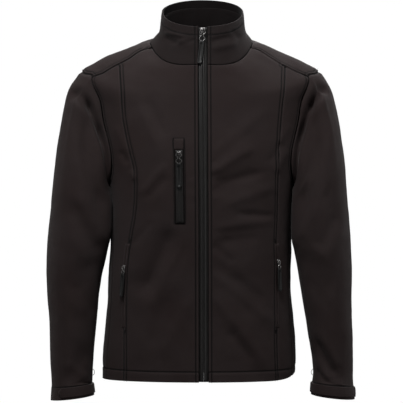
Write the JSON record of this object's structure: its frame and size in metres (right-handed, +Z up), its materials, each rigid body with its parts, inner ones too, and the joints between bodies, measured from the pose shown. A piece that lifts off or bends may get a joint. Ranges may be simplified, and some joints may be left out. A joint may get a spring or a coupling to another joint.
{
  "type": "softshell jacket",
  "caption": "Black softshell jacket as worn, hollow, with a stand collar, full-length front zip, vertical chest pocket zip, seam hand pockets and strapped cuffs.",
  "frame": {"origin": "middle of the neck, level with the neck ends of the shoulder seams", "axes": "+Z up; -Y out of the front; +X to the wearer's left"},
  "size_m": [0.61, 0.244, 0.8027],
  "materials": {
    "shell": "matte woven softshell, black",
    "lining": "brushed lining, charcoal",
    "tape": "film-faced zip tape, black",
    "metal": "dark enamelled zinc",
    "grip": "moulded matte puller"
  },
  "bodies": {
    "jacket": {"front_right": "shell", "front_left": "shell", "side_front_right": "shell", "side_front_left": "shell", "back": "shell", "sleeve_right": "shell", "sleeve_left": "shell", "cuff_tab_right": "shell", "cuff_tab_left": "shell", "collar": "shell", "collar_lining": "lining", "zip_tape_right": "tape", "zip_tape_left": "tape", "hand_zip_right": "tape", "hand_zip_left": "tape", "chest_zip": "tape", "chest_patch": "shell", "front_slider": "metal", "chest_slider": "metal", "hand_slider_right": "metal", "hand_slider_left": "metal"},
    "front_zip_pull": {"front_pull": "grip"},
    "chest_zip_pull": {"chest_pull": "grip"},
    "hand_zip_pull_right": {"hand_pull_right": "grip"},
    "hand_zip_pull_left": {"hand_pull_left": "grip"}
  },
  "joints": [
    {"name": "front_pull_hinge", "type": "hinge", "parent": "jacket", "child": "front_zip_pull", "pos_m": [0.0025, -0.07978, 0.01524], "axis": [-0.9956, 0.0126, 0.0928], "range_deg": [0, 150]},
    {"name": "chest_pull_hinge", "type": "hinge", "parent": "jacket", "child": "chest_zip_pull", "pos_m": [-0.04388, -0.12476, -0.22654], "axis": [-0.996, 0.0875, -0.0173], "range_deg": [0, 150]},
    {"name": "hand_pull_hinge_right", "type": "hinge", "parent": "jacket", "child": "hand_zip_pull_right", "pos_m": [-0.1523, -0.08536, -0.44639], "axis": [-0.7699, 0.6309, 0.0957], "range_deg": [0, 150]},
    {"name": "hand_pull_hinge_left", "type": "hinge", "parent": "jacket", "child": "hand_zip_pull_left", "pos_m": [0.15148, -0.08307, -0.43579], "axis": [-0.73, -0.6798, -0.0709], "range_deg": [0, 150]}
  ]
}
